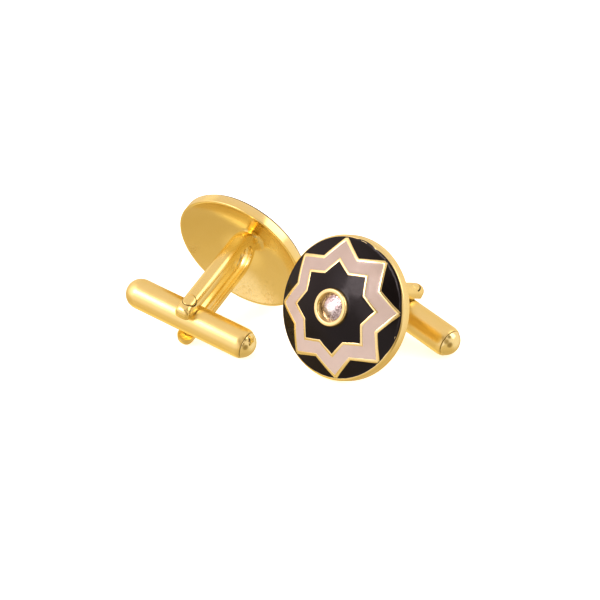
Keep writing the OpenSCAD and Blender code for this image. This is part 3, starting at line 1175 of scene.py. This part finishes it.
@dataclass
class BentPost:
    """The post: a half-round strip bent to a U, soldered to the face and drilled for the pin."""

    shop: Shop
    sizes: PostSizes
    face: FaceSizes = FaceSizes()
    bar: BarSizes = BarSizes()

    def build(self) -> None:
        """Makes the post, its solder and the pin."""
        self.bent_post()
        self.solder_fillet()
        self.filed_pin()

    @property
    def bend_z(self) -> float:
        """Height of the bend's centre."""
        return self.face.dish_depth - self.sizes.solder_film - self.sizes.arm_out

    def section(self, channel: float, narrow: float = 1.0, ahead: float = 0.0,
                blunt: float = 2.0) -> Outline:
        """The strip's section: x across it, y from its inner side to its crown.

        Args:
            channel: Share of the channel's depth.
            narrow: Share of the strip's width, less than 1 on its blunt tip.
            ahead: Share of the tip's length.
            blunt: How square the tip is.

        Returns:
            The section's outline, always with as many points.
        """
        s = self.sizes
        half = s.strip_w / 2
        steps = 20
        across = [math.sin(math.pi * (i / steps - 0.5)) for i in range(steps + 1)]
        out = [Vector((half * u * narrow, s.channel_at(half * u) * channel)) for u in across]
        for u in reversed(across):
            rim = (abs(u * narrow) ** blunt + ahead ** blunt) ** (1 / blunt)
            out.append(Vector((half * u * narrow, s.crown_at(half * min(rim, 1)))))
        return fillet(out, s.edge_round, closed=True, corners=(0, steps))

    def arm(self, blunt: float) -> list[tuple[float, Outline]]:
        """The heights and sections of an arm from its tip up, short of the bend.

        Args:
            blunt: How square the arm's tip is.

        Returns:
            A height and a section for each ring.
        """
        s = self.sizes
        tip_z = -s.reach - s.tip_start
        stop_z = -s.reach + s.channel_stop
        half = s.strip_w / 2
        arm: list[tuple[float, Outline]] = []
        tip_degrees = (90, 86, 80, 72, 62, 50, 36, 20, 8)
        for degrees in tip_degrees:
            a = math.radians(degrees)
            ahead = math.sin(a) ** (2 / blunt)
            narrow = max(math.cos(a), 0) ** (2 / blunt)
            arm.append((tip_z - half * ahead, self.section(0, narrow, ahead, blunt)))
        for z in (tip_z, stop_z - s.channel_fade):
            arm.append((z, self.section(0)))
        fades = 6
        for i in range(1, fades + 1):
            share = i / fades
            arm.append((stop_z - s.channel_fade * (1 - share), self.section(math.sin(share * math.pi / 2))))
        straight = 8
        for i in range(1, straight):
            arm.append((stop_z + (self.bend_z - stop_z) * i / straight, self.section(1)))
        return arm

    def bent_post(self) -> None:
        """Sweeps the section down one arm, round the bend and down the other."""
        s = self.sizes
        first, last = (self.arm(blunt) for blunt in s.tip_blunts)
        rings = [[Vector((p.x, s.arm_in + p.y, z)) for p in section] for z, section in first]
        turns = 36
        for i in range(turns + 1):
            a = math.pi * i / turns
            rings.append([Vector((p.x, (s.arm_in + p.y) * math.cos(a),
                                  self.bend_z + (s.arm_in + p.y) * math.sin(a))) for p in self.section(1)])
        rings += [[Vector((p.x, -s.arm_in - p.y, z)) for p in section] for z, section in reversed(last)]
        hole = self.drill(self.bar.pin_r + self.bar.pin_seam / 2)
        worn = self.bar.pin_seam / 2
        bmesh.ops.translate(hole, vec=(worn, 0, -worn), verts=hole.verts)
        self.shop.finish("bent_post", loft(rings), "post", Look.POST_GILDING, cutters=[hole])

    def laid(self, mesh: Mesh, axis: str) -> Mesh:
        """Gives a form that was made about Z a quarter turn round X or Y and moves it to the pin.

        Args:
            mesh: The form, which is changed in place.
            axis: X or Y.

        Returns:
            The same mesh.
        """
        lay = Matrix.Translation((0, 0, -self.sizes.reach)) @ Matrix.Rotation(math.pi / 2, 4, axis)
        bmesh.ops.transform(mesh, matrix=lay, verts=mesh.verts)
        return mesh

    def drill(self, radius: float) -> Mesh:
        """A cylinder along the pin's axis, long enough to pass through both arms.

        Args:
            radius: The cylinder's radius.

        Returns:
            Its mesh.
        """
        sides = 64
        past = 1.0
        mesh = bmesh.new()
        bmesh.ops.create_cone(mesh, cap_ends=True, segments=sides, radius1=radius, radius2=radius,
                              depth=2 * (self.sizes.arm_out + past))
        return self.laid(mesh, "X")

    def solder_fillet(self) -> None:
        """Solder drawn in between the bend and the hollow of the face, flared and a little uneven."""
        s = self.sizes
        low = self.face.dish_depth - s.crown - s.channel_depth
        steps = 8
        buried = 0.02
        outline = [Vector((0, low))]
        for i in range(steps + 1):
            a = math.pi / 2 * i / steps
            radius = s.seat_neck_r + (s.seat_r - s.seat_neck_r) * (1 - math.cos(a))
            outline.append(Vector((radius, low + (self.face.dish(s.seat_r) + buried - low) * math.sin(a))))
        outline.append(Vector((0, self.face.dish_depth)))
        turn_steps = 64
        mesh = revolve(outline, turn_steps)
        uneven = 0.07
        lumps_per_mm = 1.3
        for vert in mesh.verts:
            radius = math.hypot(vert.co.x, vert.co.y)
            swell = 1 + uneven * noise.noise(vert.co * lumps_per_mm)
            vert.co.x *= swell
            vert.co.y *= swell
            vert.co.z += self.face.dish(radius * swell) - self.face.dish(radius)
        self.shop.finish("solder_fillet", mesh, "solder_seat", Look.POST_GILDING)

    def filed_pin(self) -> None:
        """The pin, its ends filed to the crown of the arms, with a fine seam round them."""
        s = self.sizes
        pin_r = self.bar.pin_r
        end_rings = ((0.0, 0.0), (0.5, 0.0), (0.84, 0.0), (0.93, 0.015), (0.98, 0.045), (1.0, 0.1))
        sides = 48
        straight_share = 0.9
        straight_half = s.arm_in * straight_share

        def ring(share: float, sink: float, sign: int) -> Outline:
            """A ring on one of the pin's ends.

            Args:
                share: Share of the pin's radius.
                sink: How far it lies below the pin's filed end.
                sign: 1 for the +Y end, -1 for the other.

            Returns:
                The ring.
            """
            out = []
            for i in range(sides):
                p = polar(pin_r * share, math.tau * i / sides)
                crown = s.arm_in + s.crown_at(p.x) + self.bar.pin_proud
                out.append(Vector((p.x, sign * (crown - sink), p.y - s.reach)))
            return out

        rings = [ring(share, sink, 1) for share, sink in end_rings]
        for y in (straight_half, -straight_half):
            rings.append([Vector((p.x, y, p.z)) for p in rings[-1]])
        rings += [ring(share, sink, -1) for share, sink in reversed(end_rings)]
        self.shop.finish("filed_pin", loft(rings), "hinge_pin", Look.POST_GILDING)


@dataclass
class SwivelBar:
    """The bar: a bored tube with a round closed end, and the domed plug in its open end."""

    shop: Shop
    post: BentPost
    sizes: BarSizes = BarSizes()

    def build(self) -> None:
        """Makes the tube and the plug, and dresses the detent inside."""
        self.bar_tube()
        self.bar_end()
        self.dress_detent()

    def turned(self, name: str, outline: Outline, node: str, look: Look,
               cutters: Sequence[Mesh] = ()) -> None:
        """Turns an outline about the bar's axis, rounds its edges and finishes it on the bar's body.

        Args:
            name: The piece's name without its side.
            outline: Radius and place along the bar.
            node: The CAD node that the piece stands for, without its side.
            look: The piece's finish.
            cutters: Meshes that are cut out of the piece.
        """
        s = self.sizes
        mesh = self.post.laid(revolve(fillet(outline, s.seam_round), s.turn_steps), "Y")
        self.shop.finish(name, mesh, node, look, body=f"{self.shop.side.value}_bar", cutters=cutters)

    def bar_tube(self) -> None:
        """The tube, turned about its own axis and drilled for the pin."""
        s = self.sizes
        closed_ball = -(s.closed_reach - s.bar_r)
        plug_ball = s.plug_reach - s.bar_r
        bore_r = s.bar_r - s.wall
        seam_a = math.asin((s.seam_reach - plug_ball) / s.bar_r)
        steps = 20
        outside = arc(s.bar_r, Vector((0, closed_ball)), -math.pi / 2, 0, steps)
        outside += arc(s.bar_r, Vector((0, plug_ball)), 0, seam_a, steps // 4)
        bore_end = s.end_t - s.closed_reach
        outline = outside + points((bore_r, s.seam_reach), (bore_r, bore_end), (0, bore_end))
        self.turned("bar_tube", outline, "swivel_bar", Look.BAR_GILDING,
                    cutters=[self.post.drill(s.pin_r + s.pin_clear)])

    def bar_end(self) -> None:
        """The plug: a dome a little smaller than the tube, and a stem in its bore."""
        s = self.sizes
        dome_r = s.bar_r - s.seam_step
        centre = s.plug_reach - dome_r
        edge = s.seam_reach + s.plug_gap
        stem_end = s.seam_reach - s.plug_stem
        bore_r = s.bar_r - s.wall
        steps = 20
        outline = points((0, stem_end), (bore_r, stem_end), (bore_r, edge))
        outline += arc(dome_r, Vector((0, centre)), math.asin((edge - centre) / dome_r), math.pi / 2, steps)
        self.turned("bar_end", outline, "bar_plug", Look.PLUG_GILDING)

    def dress_detent(self) -> None:
        """Gives the plunger and the spring their steel."""
        for name in ("detent_plunger", "detent_spring"):
            data = bpy.data.objects[f"{self.shop.side.value}_{name}"].data
            data.materials.clear()
            data.materials.append(self.shop.finishes[Look.SPRING_STEEL])


@dataclass(frozen=True)
class Panel:
    """A soft box: where it stands as seen from the pair, its size and its brightness."""

    name: str
    bearing: float
    height: float
    width_m: float
    length_m: float
    radiance: float
    colour: Colour
    distance_m: float = 0.6


@dataclass(frozen=True)
class Patch:
    """A soft-edged patch of the room, by bearing, height and half-angles in degrees."""

    bearing: float
    height: float
    inner: float
    outer: float
    colour: Colour


def towards(bearing: float, height: float) -> Vector:
    """Direction to a bearing, from the far side clockwise, and a height, in degrees.

    Args:
        bearing: The bearing.
        height: The height above the table.

    Returns:
        The direction, one long.
    """
    a, e = math.radians(bearing), math.radians(height)
    return Vector((math.sin(a) * math.cos(e), math.cos(a) * math.cos(e), math.sin(e)))


@dataclass(frozen=True)
class Studio:
    """The pale table, the soft lights and the camera."""

    eye_mm: tuple[float, float, float] = (3.688, -396.617, 195.021)
    azimuth: float = -0.379
    elevation: float = 25.484
    roll: float = -0.886
    focal_px: float = 3321.0
    near_m: float = 0.01
    far_m: float = 10.0
    table_half: float = 1.2
    table_colour: Colour = (0.92, 0.93, 0.97)
    table_roughness: float = 0.9
    table_shine: float = 0.1
    table_glow: float = 0.65
    gamma: float = 0.75
    panels: tuple[Panel, ...] = (
        Panel("key", -126, 37, 0.24, 0.20, 2.7, (1.0, 0.89, 0.90)),
        Panel("side", 97, 38, 0.36, 0.40, 1.02, (1.0, 0.88, 0.80)),
    )
    gradient: tuple[tuple[float, Colour], ...] = (
        (-90, (0.71, 0.55, 0.32)),
        (-45, (0.77, 0.605, 0.37)),
        (-15, (0.81, 0.65, 0.43)),
        (0, (0.94, 0.80, 0.66)),
        (22, (0.92, 0.78, 0.67)),
        (45, (0.87, 0.73, 0.62)),
        (90, (0.89, 0.75, 0.65)),
    )
    patches: tuple[Patch, ...] = (
        Patch(-136, 12, 26, 46, (1.02, 0.90, 0.86)),
        Patch(-92, 30, 10, 44, (1.4, 1.16, 1.12)),
        Patch(-114, 34, 5, 24, (2.1, 1.82, 1.85)),
        Patch(-139, 21, 4, 12, (1.9, 1.65, 1.65)),
        Patch(-44, -54, 8, 18, (1.18, 0.96, 0.52)),
        Patch(-30, 28, 5, 14, (1.02, 0.88, 0.72)),
        Patch(13, 27, 8, 22, (0.88, 0.72, 0.54)),
        Patch(88, 2, 16, 60, (0.97, 0.84, 0.72)),
        Patch(-113, -46, 6, 20, (0.92, 0.75, 0.50)),
        Patch(-160, 38, 9, 18, (0.40, 0.32, 0.26)),
        Patch(174, 14, 6, 26, (0.50, 0.38, 0.23)),
        Patch(150, -14, 8, 26, (0.42, 0.31, 0.17)),
        Patch(138, 48, 6, 20, (0.42, 0.33, 0.20)),
    )

    def build(self) -> None:
        """Sets up everything that isn't part of the object."""
        self.colours()
        self.camera()
        self.table()
        self.room()
        for panel in self.panels:
            self.soft_box(panel)

    def colours(self) -> None:
        """Shows plain display colours, with a little more contrast."""
        settings = bpy.context.scene.view_settings
        settings.view_transform = "Standard"
        settings.look = "None"
        settings.gamma = self.gamma

    def camera(self) -> None:
        """The photograph's viewing angle, with a long lens."""
        data = bpy.data.cameras.new("camera")
        data.sensor_width = SENSOR_MM
        data.lens = self.focal_px / PHOTO_SIZE * SENSOR_MM
        data.clip_start = self.near_m
        data.clip_end = self.far_m
        turn = (Matrix.Rotation(-math.radians(self.azimuth), 4, "Z")
                @ Matrix.Rotation(math.pi / 2 - math.radians(self.elevation), 4, "X")
                @ Matrix.Rotation(math.radians(self.roll), 4, "Z"))
        camera = added("camera", data)
        camera.matrix_world = Matrix.Translation(Vector(self.eye_mm) * MM) @ turn
        bpy.context.scene.camera = camera

    def table(self) -> None:
        """A plain white table top, which the metal doesn't mirror."""
        mesh = bmesh.new()
        bmesh.ops.create_grid(mesh, x_segments=1, y_segments=1, size=self.table_half)
        top = added("table_top", mesh_data("table_top", mesh))
        top.visible_glossy = False
        top.data.materials.append(Paint("white_table").finish({
            "Base Color": (*self.table_colour, 1),
            "Roughness": self.table_roughness,
            "Specular IOR Level": self.table_shine,
            "Emission Color": (1, 1, 1, 1),
            "Emission Strength": self.table_glow,
        }))

    def room(self) -> None:
        """The room round the table: a gradient by height, with paler and darker patches."""
        world = bpy.data.worlds.new("room")
        nodes = Nodes(world)
        ray = nodes.places["Generated"]
        rise = nodes.node("ShaderNodeSeparateXYZ", {0: ray}).outputs["Z"]
        ramp = nodes.node("ShaderNodeValToRGB", {0: nodes.spread(rise, 0, 1, -1, 1)})
        stops = ramp.color_ramp.elements
        anywhere = 0.5
        while len(stops) < len(self.gradient):
            stops.new(anywhere)
        for stop, (height, colour) in zip(stops, self.gradient):
            stop.position = (math.sin(math.radians(height)) + 1) / 2
            stop.color = (*colour, 1)
        shade = ramp.outputs["Color"]
        for patch in self.patches:
            nearness = nodes.node("ShaderNodeVectorMath", {0: ray, 1: towards(patch.bearing, patch.height)})
            nearness.operation = "DOT_PRODUCT"
            start, end = (math.cos(math.radians(angle)) for angle in (patch.outer, patch.inner))
            edge = nodes.spread(nearness.outputs["Value"], 0, 1, start, end)
            edge.node.interpolation_type = "SMOOTHSTEP"
            shade = nodes.blend(edge, shade, patch.colour)
        nodes.feed(nodes.tree.nodes["Background"].inputs["Color"], shade)
        bpy.context.scene.world = world

    def soft_box(self, panel: Panel) -> None:
        """An area light that looks at the pair.

        Args:
            panel: The soft box that it is.
        """
        data = bpy.data.lights.new(panel.name, "AREA")
        data.shape = "RECTANGLE"
        data.size = panel.width_m
        data.size_y = panel.length_m
        data.energy = panel.radiance * math.pi * panel.width_m * panel.length_m
        data.color = panel.colour
        light = added(panel.name, data)
        way = towards(panel.bearing, panel.height)
        light.location = way * panel.distance_m
        light.rotation_mode = "QUATERNION"
        light.rotation_quaternion = (-way).to_track_quat("-Z", "Y")


def main() -> None:
    """Builds the pair on its frame and sets up the studio."""
    logging.basicConfig(level=logging.INFO, format="%(name)s: %(message)s")
    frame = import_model()
    finishes = {look: look.value.material() for look in Look}
    for side in Side:
        shop = Shop(side, own_frame(side, frame["record"], FaceSizes()), finishes)
        hand = HAND_WORK[side]
        EnamelledFace(shop, hand.laps).build()
        post = BentPost(shop, PostSizes(hand.tip_blunts))
        post.build()
        SwivelBar(shop, post).build()
        LOG.info("%s cufflink: %d pieces", side.value, shop.made)
    Studio().build()


if __name__ == "__main__":
    main()
